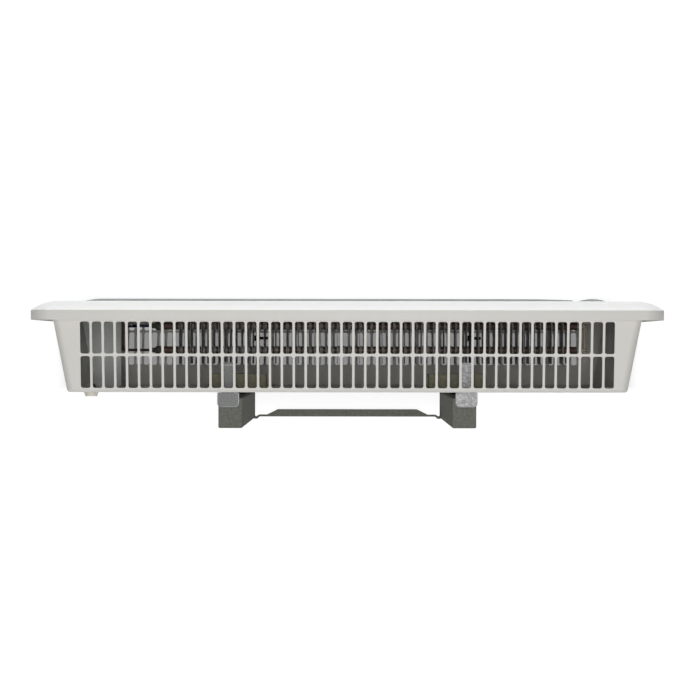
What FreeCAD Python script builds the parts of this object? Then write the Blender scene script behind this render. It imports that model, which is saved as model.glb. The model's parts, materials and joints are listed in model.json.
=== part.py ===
"""Wall-hung electric convector heater on its bracket, in millimetres.

X runs along the width (+X is the right hand of someone facing it), the wall is the plane Y = 0,
the front faces -Y, and Z = 0 is the middle of the bracket's four wall screws.
"""
import FreeCAD, Part
import math
import os

V = FreeCAD.Vector
X_AXIS = V(1, 0, 0)
Y_AXIS = V(0, 1, 0)

# Clearances
seat_gap = 0.3
running_gap = 0.05
slide_gap = 0.5
cut_margin = 2.0

# Front panel
panel_width = 635.0
panel_height = 454.0
panel_corner_radius = 18.0
panel_sheet = 1.2
bevel_width = 23.5
bevel_depth = 9.4
skirt_depth = 9.9
skirt_lip = 2.4
bevel_sag = 0.24
bevel_inner_share = 0.45
bevel_corner_share = 0.4
stud_radius = 3.5
stud_side_z = 122.0
stud_edge_x = 133.0

# Rear casing
wall_gap = 37.0
casing_depth = 76.2
casing_margin = 20.6
casing_draft = 13.8
casing_sheet = 1.0
casing_corner_radius = 7.0
casing_rear_radius = 3.5
flange_inset = 2.5

# Outlet slots in the top
outlet_columns = 45
outlet_pitch = 12.0
outlet_slot_width = 9.55
outlet_bar = 2.5
outlet_row_length = 32.2
outlet_front_margin = 4.0
slot_corner_radius = 2.2

# Inlet slots in the bottom
inlet_columns = 59
inlet_pitch = 8.8
inlet_slot_width = 6.0
inlet_bar = 2.3
inlet_long_row = 37.2
inlet_short_row = 6.6
inlet_front_margin = 4.4
inlet_centre_x = -6.0

# Wall bracket
arm_spacing = 238.4
arm_width = 24.5
arm_depth = 30.6
arm_top_z = 166.0
arm_length = 380.0
arm_sheet = 1.5
screw_spacing_z = 260.0
wall_hole_radius = 3.0
hook_width = 22.3
hook_offset = 2.2
tongue_width = 13.6
tongue_reach = 30.0
hook_sheet = 2.0
hook_rear_setback = 21.4
hook_corner_radius = 4.0
lip_height = 6.0
lift_travel = 9.0
hook_slot_gap = 1.0
lower_hook_reach = 9.0
lower_hook_z = -150.0
crossbar_height = 34.0
crossbar_offset = 2.6
crossbar_step = 5.0
crossbar_flange_depth = 7.0
crossbar_flange_base = 187.6
crossbar_flange_top = 159.4
weld_leg = 1.4
pad_radius = 7.0
pad_z = -60.0
pad_edge = 1.8

# Heating element
element_z = -96.0
rod_radius = 4.2
rod_spacing = 26.8
rod_front_y = -105.7
rod_near_x = 206.0
rod_far_x = -256.0
rod_end_length = 8.0
rod_end_radius = 3.2
pin_radius = 1.6
pin_length = 11.0
fin_count = 70
fin_pitch = 6.25
fin_first_x = 186.6
fin_sheet = 0.5
fin_depth = 54.0
fin_height = 52.0
fin_corner_radius = 3.0
fin_offset = 1.5
collar_length = 2.4
collar_wall = 0.6
link_width = 6.0
link_sheet = 0.8

# Element hangers
hanger_fins = (13, 51)
hanger_edge = 3.5
hanger_sheet = 1.6
hanger_height = 30.0
hanger_foot = 16.0
clamp_screw_radius = 1.6
clamp_screw_length = 13.0
clamp_head_radius = 3.2
clamp_head_height = 2.2

# Electrical compartment
partition_x = 252.0
partition_sheet = 1.0
compartment_top_z = -90.0
compartment_bottom_z = -186.0
compartment_front_y = -110.0
compartment_fold = 12.0
partition_hole_radius = 2.4

# Controls on the front, one above the other
control_x = 252.0
control_width = 46.0
control_top_z = -40.0
control_height = 150.0
control_plate = 1.6
control_corner_radius = 6.0
knob_radius = 17.0
knob_height = 4.2
knob_face = 1.4
knob_taper = 1.2
knob_edge = 1.0
knob_grips = 18
knob_grip_radius = 1.2
knob_mark = 1.2
knob_mark_inner = 7.0
knob_mark_outer = 13.5
knob_gap = 0.5
shaft_radius = 3.0
thermostat_size = 34.0
thermostat_depth = 18.0
thermostat_edge = 2.0
shaft_engagement = 9.0
rocker_width = 19.0
rocker_height = 26.0
rocker_depth = 20.0
rocker_wall = 1.6
rocker_bezel = 2.0
rocker_tilt = 8.0
rocker_pin_radius = 1.2
rocker_rise = 2.0
rocker_swing = 0.3
rocker_dish = 0.7
knob_drop = 24.8
switch_drop = 40.0
switch_gap = 9.0
lamp_rise = 12.0
lamp_radius = 4.0
lamp_length = 16.0
lamp_dome_radius = 6.4
lamp_collar_radius = 5.0

# Front louvre strip and its end piece
louvre_right_x = 265.5
louvre_left_x = -227.5
louvre_top_z = 189.0
louvre_height = 50.0
louvre_proud = 2.4
louvre_left_proud = 1.2
louvre_nose = 18.0
louvre_tail = 54.0
louvre_rim = 8.0
louvre_blade_count = 4
louvre_wall = 3.0
louvre_blade_edge = 1.5
louvre_blade_fall = 3.0
louvre_plug_depth = 9.0
louvre_post_pitch = 78.0
end_piece_gap = 5.7
end_piece_width = 28.3
end_piece_proud = 2.6

# Gland, cut-out, terminal block, shield and wires
gland_x = 264.0
gland_z = 134.0
gland_radius = 6.2
gland_proud = 5.2
gland_flange = 1.6
gland_bore = 3.3
terminal_width = 40.0
terminal_height = 30.0
terminal_depth = 18.0
terminal_front_y = -108.0
terminal_bottom_z = -175.0
terminal_ways = 3
terminal_screw_radius = 2.2
cutout_radius = 8.0
cutout_height = 10.0
cutout_x = 213.0
cutout_z = -38.0
shield_sheet = 0.6
shield_gap = 6.0
shield_height = 150.0
shield_lap = 4.5
shield_right_x = 226.0
shield_foot = 6.0
wire_radius = 1.5
wire_bend = 7.0
neutral_bend = 6.0
wire_x = 240.0
wire_spacing = 8.0
live_wire_x = 258.0
live_wire_y = -88.0
screw_radius = 1.6
screw_length = 8.5
screw_tip_gap = 1.0
screw_slot_width = 0.8
screw_slot_depth = 0.8
screw_head_radius = 3.4
screw_head_height = 2.0
pocket_width = 57.5
pocket_depth = 17.0
pocket_inset = 7.0
pocket_gap = 1.5
pocket_foot = 12.0
pocket_height = 44.0

# Places that follow from the sizes above
casing_rear_y = -wall_gap
casing_front_y = casing_rear_y - casing_depth
back_inner_y = casing_rear_y - casing_sheet
flange_rear_y = casing_front_y + casing_sheet
skirt_rear_y = flange_rear_y + skirt_lip
bevel_base_y = skirt_rear_y - skirt_depth
front_y = bevel_base_y - bevel_depth
panel_inner_y = front_y + panel_sheet
casing_half_width = panel_width / 2 - casing_margin
casing_half_height = panel_height / 2 - casing_margin
rod_y = (rod_front_y, rod_front_y + rod_spacing)
fin_front_y = (rod_y[0] + rod_y[1]) / 2 - fin_depth / 2 + fin_offset
arm_front_y = -arm_depth
arm_x = (arm_spacing / 2, -arm_spacing / 2)
hook_x = (arm_x[0] + hook_offset, arm_x[1] - hook_offset)
knob_z = control_top_z - knob_drop
switch_z = (knob_z - switch_drop, knob_z - switch_drop - rocker_height - switch_gap)
lamp_z = control_top_z - control_height + lamp_rise
louvre_bottom_z = louvre_top_z - louvre_height


def draft_at(y):
    """How far the casing's walls have drawn in at this depth."""
    return casing_draft * (y - casing_front_y) / casing_depth


def box(x0, x1, y0, y1, z0, z1):
    low = V(min(x0, x1), min(y0, y1), min(z0, z1))
    return Part.makeBox(abs(x1 - x0), abs(y1 - y0), abs(z1 - z0), low)


def rod(start, axis, radius, length):
    return Part.makeCylinder(radius, length, start, axis)


def round_wire(half_a, half_b, radius, place):
    """Rectangle with round corners; place(a, b) turns its flat coordinates into a point."""
    a = half_a - radius
    b = half_b - radius
    d = radius * math.sqrt(0.5)
    edges = []
    for sign_a, sign_b, turn in ((1, 1, 1), (-1, 1, 0), (-1, -1, 1), (1, -1, 0)):
        side = (place(sign_a * half_a, sign_b * b), place(sign_a * a, sign_b * half_b))
        middle = place(sign_a * (a + d), sign_b * (b + d))
        first, last = side if turn else side[::-1]
        edges.append(Part.Arc(first, middle, last).toShape())
    corners = [(e.Vertexes[0].Point, e.Vertexes[-1].Point) for e in edges]
    joined = []
    for i, edge in enumerate(edges):
        joined.append(edge)
        joined.append(Part.makeLine(corners[i][1], corners[(i + 1) % 4][0]))
    return Part.Wire(joined)


def upright_wire(half_w, half_h, radius, y):
    return round_wire(half_w, half_h, radius, lambda a, b: V(a, y, b))


def flat_plate(x, z, width, height, radius, y0, y1):
    """Round-cornered plate that stands upright, from depth y0 to y1."""
    wire = round_wire(width / 2, height / 2, radius, lambda a, b: V(x + a, y0, z + b))
    return Part.Face(wire).extrude(V(0, y1 - y0, 0))


def slot_prism(x, y0, y1, width, radius, z0, z1):
    """Upright prism that cuts one round-cornered slot."""
    middle = (y0 + y1) / 2
    wire = round_wire(width / 2, (y1 - y0) / 2, radius, lambda a, b: V(x + a, middle + b, z0))
    return Part.Face(wire).extrude(V(0, 0, z1 - z0))


def prism(points, vector):
    """Solid from a closed outline of straight lines."""
    return Part.Face(Part.makePolygon(points + points[:1])).extrude(vector)


def tube_along(points, radius, bend):
    """Wire or tube along straight runs joined by arcs of one bend radius."""
    edges = []
    start = points[0]
    for before, corner, after in zip(points, points[1:], points[2:]):
        a = (before - corner).normalize()
        b = (after - corner).normalize()
        half = a.getAngle(b) / 2
        setback = bend / math.tan(half)
        bisector = (a + b).normalize()
        middle = corner + bisector * (bend / math.sin(half) - bend)
        edges.append(Part.makeLine(start, corner + a * setback))
        edges.append(Part.Arc(corner + a * setback, middle, corner + b * setback).toShape())
        start = corner + b * setback
    edges.append(Part.makeLine(start, points[-1]))
    path = Part.Wire(edges)
    ring = Part.Wire(Part.makeCircle(radius, points[0], points[1] - points[0]))
    return path.makePipeShell([ring], True, False)


def save(name, shape):
    solids = shape.Solids
    whole = solids[0] if len(solids) == 1 else Part.makeCompound(solids)
    if not whole.isValid():
        print("not valid:", name)
    whole.exportStep("parts/" + name + ".step")
    print(name, len(solids), round(whole.Volume, 1))


def panel_sections(offset):
    """Sections of the front panel, drawn in by offset to give the inside of its sheet."""
    wires = [upright_wire(panel_width / 2 - offset, panel_height / 2 - offset,
                          panel_corner_radius - offset, skirt_rear_y)]
    for share in (0.0, 0.2, 0.45, 0.72, 1.0):
        inset = bevel_width * share + offset * (1 - bevel_inner_share * share)
        rise = bevel_depth * (share + 4 * bevel_sag * share * (1 - share))
        wires.append(upright_wire(panel_width / 2 - inset, panel_height / 2 - inset,
                                  panel_corner_radius * (1 - bevel_corner_share * share) - offset,
                                  bevel_base_y - rise + offset))
    return wires


def panel_stud_places():
    """Screw places round the casing's flange."""
    x = casing_half_width + (casing_margin - flange_inset) / 2
    z = casing_half_height + (casing_margin - flange_inset) / 2
    places = [(sx * x, sz * stud_side_z) for sx in (1, -1) for sz in (1, -1)]
    places += [(sx * stud_edge_x, sz * z) for sx in (1, -1) for sz in (1, -1)]
    return places


def control_bores(y0, y1, spare):
    """Holes through the front for the thermostat shaft, the switches and the lamp."""
    cuts = [rod(V(control_x, y0, knob_z), Y_AXIS, shaft_radius + running_gap + spare, y1 - y0)]
    for z in switch_z:
        half_w = rocker_width / 2 + spare
        half_h = rocker_height / 2 + spare
        cuts.append(box(control_x - half_w, control_x + half_w, y0, y1, z - half_h, z + half_h))
    cuts.append(rod(V(control_x, y0, lamp_z), Y_AXIS, lamp_radius + spare, y1 - y0))
    return Part.makeCompound(cuts)


def louvre_opening():
    """Aperture in the panel behind the louvre strip."""
    x0 = louvre_left_x + louvre_rim
    x1 = louvre_right_x - louvre_rim - louvre_nose / 2
    return x0, x1, louvre_bottom_z + louvre_rim, louvre_top_z - louvre_rim


def panel_body(offset):
    """Straight skirt and smoothly swept bevel as one body."""
    wires = panel_sections(offset)
    skirt = Part.makeLoft(wires[:2], True, True)
    bevel = Part.makeLoft(wires[1:], True, False)
    return skirt.fuse(bevel).removeSplitter()


def make_front_panel():
    outer = panel_body(0.0)
    panel = outer.cut(panel_body(panel_sheet))
    studs = []
    for x, z in panel_stud_places():
        studs.append(rod(V(x, casing_front_y, z), -Y_AXIS, stud_radius, bevel_depth + skirt_depth))
    studs = Part.makeCompound(studs).common(outer)
    panel = panel.fuse(studs).removeSplitter()
    bores = []
    stud_bore = screw_length - casing_sheet + screw_tip_gap
    for x, z in panel_stud_places():
        bores.append(rod(V(x, casing_front_y, z), -Y_AXIS, screw_radius + running_gap, stud_bore))
    x0, x1, z0, z1 = louvre_opening()
    bores.append(box(x0, x1, front_y - 1, panel_inner_y + 1, z0, z1))
    panel = panel.cut(Part.makeCompound(bores))
    panel = panel.cut(control_bores(front_y - 1, panel_inner_y + 1, slide_gap))
    save("front_panel", panel)


def casing_body(offset, front):
    """Tapered tub with flat walls; offset draws every wall in by the sheet."""
    rear = casing_rear_y - offset
    rings = []
    for y in (front, rear):
        w = casing_half_width - draft_at(y) - offset
        h = casing_half_height - draft_at(y) - offset
        rings.append([V(w, y, h), V(-w, y, h), V(-w, y, -h), V(w, y, -h)])
    outlines = rings[:]
    for i in range(4):
        j = (i + 1) % 4
        outlines.append([rings[0][i], rings[0][j], rings[1][j], rings[1][i]])
    faces = [Part.Face(Part.makePolygon(outline + outline[:1])) for outline in outlines]
    tub = Part.Solid(Part.Shell(faces))
    corners = [e for e in tub.Edges if abs(e.Vertexes[0].Point.y - e.Vertexes[1].Point.y) > 1]
    tub = tub.makeFillet(casing_corner_radius - offset, corners)
    edges = [e for e in tub.Edges if all(abs(v.Point.y - rear) < 1e-6 for v in e.Vertexes)]
    return tub.makeFillet(casing_rear_radius - offset, edges)


def outlet_rows():
    """Cutting prisms of each row of outlet slots."""
    rows = []
    y = casing_front_y + casing_sheet + outlet_front_margin
    half = casing_half_height
    for y0 in (y, y + outlet_row_length + outlet_bar):
        cuts = []
        for i in range(outlet_columns):
            x = (i - (outlet_columns - 1) / 2) * outlet_pitch
            cuts.append(slot_prism(x, y0, y0 + outlet_row_length, outlet_slot_width,
                                   slot_corner_radius, half - casing_draft - casing_rear_radius - cut_margin,
                                   half + cut_margin))
        rows.append(cuts)
    return rows


def inlet_rows():
    """Cutting prisms of each row of inlet slots."""
    rows = []
    y = casing_front_y + casing_sheet + inlet_front_margin
    second = y + inlet_short_row + inlet_bar
    half = casing_half_height
    for y0, y1 in ((y, y + inlet_short_row), (second, second + inlet_long_row)):
        cuts = []
        for i in range(inlet_columns):
            x = inlet_centre_x + (i - (inlet_columns - 1) / 2) * inlet_pitch
            cuts.append(slot_prism(x, y0, y1, inlet_slot_width, slot_corner_radius, -half - cut_margin,
                                   -half + casing_draft + casing_rear_radius + cut_margin))
        rows.append(cuts)
    return rows


def hook_slot_cuts():
    """Slots in the back that drop over the bracket's tongues."""
    cuts = []
    height = lift_travel + hook_sheet + hook_slot_gap
    half = tongue_width / 2 + hook_slot_gap
    for places, top in ((hook_x, arm_top_z + hook_sheet), (arm_x, lower_hook_z + hook_sheet)):
        for x in places:
            cuts.append(box(x - half, x + half, casing_rear_y + cut_margin,
                            back_inner_y - cut_margin, top - height, top))
    return cuts


def make_rear_casing():
    tub = casing_body(0.0, casing_front_y)
    flange_x = panel_width / 2 - flange_inset
    flange_z = panel_height / 2 - flange_inset
    flange = Part.Face(upright_wire(flange_x, flange_z, panel_corner_radius - flange_inset, casing_front_y))
    flange = flange.extrude(V(0, casing_sheet, 0))
    shell = tub.fuse(flange).removeSplitter()
    shell = shell.cut(casing_body(casing_sheet, casing_front_y - 5))
    for row in outlet_rows() + inlet_rows() + [hook_slot_cuts()]:
        shell = shell.cut(row)
    holes = []
    for x, z in panel_stud_places():
        holes.append(rod(V(x, casing_front_y - 1, z), Y_AXIS, screw_radius + running_gap, casing_sheet + 2))
    holes.append(rod(V(gland_x, back_inner_y - 1, gland_z), Y_AXIS, gland_radius, casing_sheet + 2))
    save("rear_casing", shell.cut(Part.makeCompound(holes)))


def make_panel_screws():
    screws = []
    for x, z in panel_stud_places():
        head = rod(V(x, flange_rear_y, z), Y_AXIS, screw_head_radius, screw_head_height)
        shank = rod(V(x, flange_rear_y, z), -Y_AXIS, screw_radius, screw_length)
        slot = box(x - screw_head_radius, x + screw_head_radius,
                   flange_rear_y + screw_head_height - screw_slot_depth,
                   flange_rear_y + screw_head_height + cut_margin, z - screw_slot_width / 2,
                   z + screw_slot_width / 2)
        screws.append(head.fuse(shank).removeSplitter().cut(slot))
    save("panel_screws", Part.makeCompound(screws))


def make_bracket_arm(name, x, side):
    """Folded channel with its web towards the middle, a closed top and one lower tongue."""
    inner = x - side * arm_width / 2
    outer = x + side * arm_width / 2
    bottom = arm_top_z - arm_length
    body = box(inner, outer, arm_front_y, 0, bottom, arm_top_z)
    folds = []
    for edge in body.Edges:
        points = [v.Point for v in edge.Vertexes]
        on_web = all(abs(p.x - inner) < 1e-6 for p in points)
        on_top = all(abs(p.z - arm_top_z) < 1e-6 for p in points)
        on_wall = all(abs(p.y) < 1e-6 for p in points)
        at_end = any(abs(p.z - bottom) < 1e-6 for p in points)
        upright = abs(points[0].z - points[1].z) > 1
        along_x = abs(points[0].x - points[1].x) > 1
        outer_end = on_wall and upright and not on_web
        if (on_web and (upright or not at_end)) or (on_top and along_x) or outer_end:
            folds.append(edge)
    body = body.makeFillet(arm_sheet, folds)
    hollow = box(inner + side * arm_sheet, outer + side, arm_front_y + arm_sheet, -arm_sheet,
                 bottom - 1, arm_top_z - arm_sheet)
    tongue = box(x - tongue_width / 2, x + tongue_width / 2, arm_front_y,
                 casing_rear_y - lower_hook_reach, lower_hook_z, lower_hook_z + hook_sheet)
    lip = box(x - tongue_width / 2, x + tongue_width / 2, casing_rear_y - lower_hook_reach,
              casing_rear_y - lower_hook_reach + hook_sheet, lower_hook_z,
              lower_hook_z + hook_sheet + lip_height)
    holes = []
    for z in (screw_spacing_z / 2, -screw_spacing_z / 2):
        holes.append(rod(V(x, -arm_sheet - 1, z), Y_AXIS, wall_hole_radius, arm_sheet + 2))
    arm = body.cut(hollow).fuse(tongue.fuse(lip)).removeSplitter()
    save(name, arm.cut(Part.makeCompound(holes)))


def make_crossbar():
    """Stiffened sheet between the arms, stepped back to the wall and welded at each end."""
    bottom = arm_top_z - arm_length
    top = bottom + crossbar_height
    end = arm_spacing / 2 - arm_width / 2
    step = end - crossbar_step
    front = -crossbar_offset - arm_sheet
    outline = [V(end, 0, bottom), V(end, -arm_sheet, bottom), V(step, front, bottom),
               V(-step, front, bottom), V(-end, -arm_sheet, bottom), V(-end, 0, bottom),
               V(-step - arm_sheet, 0, bottom), V(-step + arm_sheet, -crossbar_offset, bottom),
               V(step - arm_sheet, -crossbar_offset, bottom), V(step + arm_sheet, 0, bottom)]
    bar = prism(outline, V(0, 0, crossbar_height))
    flange_front = front - crossbar_flange_depth
    flange = [V(crossbar_flange_base / 2, front, top), V(crossbar_flange_top / 2, flange_front, top),
              V(-crossbar_flange_top / 2, flange_front, top), V(-crossbar_flange_base / 2, front, top)]
    bar = bar.fuse(prism(flange, V(0, 0, -arm_sheet)))
    welds = []
    for side in (1, -1):
        bead = [V(side * end, -arm_sheet / 2, bottom), V(side * end, -arm_sheet - weld_leg, bottom),
                V(side * (end - weld_leg), -arm_sheet, bottom)]
        welds.append(prism(bead, V(0, 0, crossbar_height)))
    save("bracket_crossbar", bar.fuse(welds).removeSplitter())


def make_hook(name, x):
    """Plate on the closed top of an arm; its tongue enters the casing and turns up at the end."""
    z = arm_top_z
    rear = -hook_rear_setback
    neck = casing_rear_y + slide_gap
    tip = casing_rear_y - tongue_reach
    plate = box(x - hook_width / 2, x + hook_width / 2, neck, rear, z, z + hook_sheet)
    corners = [e for e in plate.Edges if all(abs(v.Point.y - rear) < 1e-6 for v in e.Vertexes)
               and abs(e.Vertexes[0].Point.z - e.Vertexes[1].Point.z) > 1]
    plate = plate.makeFillet(hook_corner_radius, corners)
    half = tongue_width / 2
    tongue = box(x - half, x + half, tip, neck, z, z + hook_sheet)
    lip = box(x - half, x + half, tip, tip + hook_sheet, z, z + hook_sheet + lip_height)
    save(name, plate.fuse([tongue, lip]).removeSplitter())


def make_bumper_pads():
    pads = []
    length = arm_front_y - casing_rear_y - seat_gap
    for x in arm_x:
        pad = rod(V(x, arm_front_y, pad_z), -Y_AXIS, pad_radius, length)
        rim = [e for e in pad.Edges if e.Closed and abs(e.Vertexes[0].Point.y - arm_front_y + length) < 1e-6]
        pads.append(pad.makeFillet(pad_edge, rim))
    save("bumper_pads", Part.makeCompound(pads))


def make_hook_pocket(name, x, side):
    """Angle behind the back panel, under the hook's tongue and clear of it when the heater is lifted."""
    middle = x - side * pocket_inset
    x0 = middle - pocket_width / 2
    x1 = middle + pocket_width / 2
    y0 = back_inner_y - pocket_depth
    top = arm_top_z - lift_travel - pocket_gap
    low = top - pocket_height
    shelf = box(x0, x1, y0, back_inner_y, top - casing_sheet, top)
    front = box(x0, x1, y0, y0 + casing_sheet, low, top)
    foot = box(x0, x1, back_inner_y - casing_sheet, back_inner_y, low, low + pocket_foot)
    base = box(x0, x1, y0, back_inner_y, low, low + casing_sheet)
    save(name, shelf.fuse([front, foot, base]).removeSplitter())


def make_heating_rods():
    for name, y in zip(("heating_rod_front", "heating_rod_rear"), rod_y):
        save(name, rod(V(rod_far_x, y, element_z), X_AXIS, rod_radius, rod_near_x - rod_far_x))


def rod_ends():
    """Each end of each rod, with the way that it points."""
    return [(x, y, side) for y in rod_y for x, side in ((rod_near_x, 1), (rod_far_x, -1))]


def make_rod_ends():
    insulators = []
    pins = []
    for x, y, side in rod_ends():
        start = V(x, y, element_z)
        bush = rod(start, X_AXIS * side, rod_end_radius, rod_end_length)
        insulators.append(bush.cut(rod(start, X_AXIS * side, pin_radius + running_gap, rod_end_length)))
        pins.append(rod(start, X_AXIS * side, pin_radius, pin_length))
    save("rod_end_insulators", Part.makeCompound(insulators))
    save("rod_terminal_pins", Part.makeCompound(pins))


def make_link_strip():
    """Strip that joins the far ends of the two rods."""
    x = rod_far_x - rod_end_length
    y0 = rod_y[0] - link_width / 2
    y1 = rod_y[1] + link_width / 2
    strip = box(x - link_sheet, x, y0, y1, element_z - link_width / 2, element_z + link_width / 2)
    holes = [rod(V(x + 1, y, element_z), -X_AXIS, pin_radius + running_gap, link_sheet + 2) for y in rod_y]
    save("rod_link_strip", strip.cut(Part.makeCompound(holes)))


def fin_x(index):
    return fin_first_x - index * fin_pitch


def make_fins():
    """Stack of pressed fins, each with a collar round both rods and a hole for the clamp screws."""
    middle = fin_front_y + fin_depth / 2
    wire = round_wire(fin_depth / 2, fin_height / 2, fin_corner_radius,
                      lambda a, b: V(0, middle + a, element_z + b))
    fin = Part.Face(wire).extrude(V(-fin_sheet, 0, 0))
    bore = rod_radius + running_gap
    collars = []
    bores = []
    for y in rod_y:
        collars.append(rod(V(0, y, element_z), -X_AXIS, bore + collar_wall, fin_sheet + collar_length))
        bores.append(rod(V(1, y, element_z), -X_AXIS, bore, fin_sheet + collar_length + 2))
    bores.append(rod(V(1, clamp_y(), element_z), -X_AXIS, clamp_head_radius + slide_gap, fin_sheet + 2))
    fin = fin.fuse(collars).cut(Part.makeCompound(bores)).removeSplitter()
    fins = []
    for i in range(fin_count):
        copy = fin.copy()
        copy.translate(V(fin_x(i), 0, 0))
        fins.append(copy)
    save("heating_fins", Part.makeCompound(fins))


def clamp_y():
    return (rod_y[0] + rod_y[1]) / 2


def hanger_place(index):
    """Middle of the free space between one fin's collar and the next fin."""
    free = fin_pitch - fin_sheet - collar_length
    return fin_x(index) - fin_sheet - collar_length - free / 2


def make_hangers():
    """Black sheet hangers between two fins, turned along the back panel and screwed there."""
    for name, index in zip(("element_hanger_right", "element_hanger_left"), hanger_fins):
        x = hanger_place(index)
        z0 = element_z - hanger_height / 2
        z1 = element_z + hanger_height / 2
        front = rod_y[0] - rod_radius - hanger_edge
        plate = box(x - hanger_sheet / 2, x + hanger_sheet / 2, front, back_inner_y, z0, z1)
        foot = box(x - hanger_sheet / 2, x + hanger_foot, back_inner_y - hanger_sheet, back_inner_y, z0, z1)
        holes = [rod(V(x + hanger_sheet, y, element_z), -X_AXIS, rod_radius + running_gap, hanger_sheet * 2)
                 for y in rod_y]
        holes.append(rod(V(x + hanger_sheet, clamp_y(), element_z), -X_AXIS,
                         clamp_screw_radius + running_gap, hanger_sheet * 2))
        save(name, plate.fuse(foot).removeSplitter().cut(Part.makeCompound(holes)))


def make_clamp_screws():
    screws = []
    for index in hanger_fins:
        x = hanger_place(index) + hanger_sheet / 2
        shank = rod(V(x, clamp_y(), element_z), -X_AXIS, clamp_screw_radius, clamp_screw_length)
        head = rod(V(x, clamp_y(), element_z), X_AXIS, clamp_head_radius, clamp_head_height)
        nut = rod(V(x - hanger_sheet, clamp_y(), element_z), -X_AXIS, clamp_head_radius, clamp_head_height)
        screws.append(shank.fuse([head, nut]).removeSplitter())
    save("hanger_screws", Part.makeCompound(screws))


def end_wall_x(y):
    """Inside of the casing's right end wall at this depth."""
    return casing_half_width - draft_at(y) - casing_sheet - seat_gap


def make_partition():
    """Folded sheet that closes off the electrical compartment, with its cover plate on top."""
    x0 = partition_x
    cover_front = compartment_front_y
    wall = box(x0, x0 + partition_sheet, cover_front, back_inner_y, compartment_bottom_z, compartment_top_z)
    top0 = compartment_top_z - partition_sheet
    rear_end = end_wall_x(back_inner_y) - casing_rear_radius
    cover = prism([V(x0, cover_front, top0), V(end_wall_x(cover_front), cover_front, top0),
                   V(end_wall_x(back_inner_y - casing_rear_radius), back_inner_y - casing_rear_radius, top0),
                   V(rear_end, back_inner_y, top0), V(x0, back_inner_y, top0)],
                  V(0, 0, partition_sheet))
    fold = box(x0, rear_end, back_inner_y - partition_sheet, back_inner_y,
               top0, compartment_top_z + compartment_fold)
    foot = box(x0, x0 + compartment_fold, back_inner_y - partition_sheet, back_inner_y,
               compartment_bottom_z, compartment_top_z)
    wire_hole = rod(V(x0 - 1, rod_y[0], neutral_z()), X_AXIS, partition_hole_radius, partition_sheet + 2)
    sheet = wall.fuse([cover, fold, foot]).removeSplitter()
    save("compartment_partition", sheet.cut(wire_hole))


def neutral_z():
    """Height at which the neutral wire enters the terminal block."""
    return terminal_bottom_z + terminal_height / 2


def shield_rear_y():
    return panel_inner_y + shield_gap + shield_sheet


def make_heat_shield():
    """Bright sheet between element and front panel; its ends step to the panel and to the casing's flange."""
    z0 = element_z - shield_height / 2
    z1 = element_z + shield_height / 2
    rear = shield_rear_y()
    far = -casing_half_width - shield_lap
    step = -casing_half_width + shield_lap
    sheet = box(step, shield_right_x, rear - shield_sheet, rear, z0, z1)
    riser = box(step, step + shield_sheet, rear, casing_front_y, z0, z1)
    foot = box(far, step + shield_sheet, casing_front_y - shield_sheet, casing_front_y, z0, z1)
    near_riser = box(shield_right_x - shield_sheet, shield_right_x, panel_inner_y, rear, z0, z1)
    near_foot = box(shield_right_x - shield_sheet, shield_right_x + shield_foot, panel_inner_y,
                    panel_inner_y + shield_sheet, z0, z1)
    save("heat_shield", sheet.fuse([riser, foot, near_riser, near_foot]).removeSplitter())


def control_front_y():
    return front_y - control_plate


def make_control_panel():
    z = control_top_z - control_height / 2
    plate = flat_plate(control_x, z, control_width, control_height, control_corner_radius,
                       control_front_y(), front_y)
    rim = [e for e in plate.Edges if all(abs(v.Point.y - control_front_y()) < 1e-6 for v in e.Vertexes)]
    plate = plate.makeChamfer(control_plate / 2, rim)
    save("control_panel", plate.cut(control_bores(control_front_y() - 1, front_y + 1, 0.0)))


def make_thermostat():
    half = thermostat_size / 2
    rear = panel_inner_y + thermostat_depth
    body = box(control_x - half, control_x + half, panel_inner_y, rear, knob_z - half, knob_z + half)
    bore = rod(V(control_x, panel_inner_y, knob_z), Y_AXIS, shaft_radius + running_gap, shaft_engagement)
    save("thermostat_body", body.makeFillet(thermostat_edge, body.Edges[0:4]).cut(bore))
    knob_rear = control_front_y() - knob_gap
    knob_bore = knob_height - knob_face
    start = V(control_x, knob_rear - knob_bore + running_gap, knob_z)
    length = panel_inner_y + shaft_engagement - running_gap - start.y
    save("thermostat_shaft", rod(start, Y_AXIS, shaft_radius, length))
    knob_base = V(control_x, knob_rear, knob_z)
    knob = Part.makeCone(knob_radius, knob_radius - knob_taper, knob_height, knob_base, -Y_AXIS)
    rim = [e for e in knob.Edges if e.Closed and abs(e.Vertexes[0].Point.y - knob_rear + knob_height) < 1e-6]
    knob = knob.makeFillet(knob_edge, rim)
    cuts = [rod(knob_base, -Y_AXIS, shaft_radius + running_gap, knob_bore)]
    for i in range(knob_grips):
        turn = 2 * math.pi * i / knob_grips
        place = V(control_x + knob_radius * math.cos(turn), knob_rear, knob_z + knob_radius * math.sin(turn))
        cuts.append(rod(place, -Y_AXIS, knob_grip_radius, knob_height))
    cuts.append(box(control_x - knob_mark / 2, control_x + knob_mark / 2, knob_rear - knob_height - 1,
                    knob_rear - knob_height + knob_mark, knob_z + knob_mark_inner, knob_z + knob_mark_outer))
    save("thermostat_knob", knob.cut(Part.makeCompound(cuts)))


def rocker_pivot_y():
    return control_front_y() + rocker_pin_radius + rocker_wall


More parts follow.
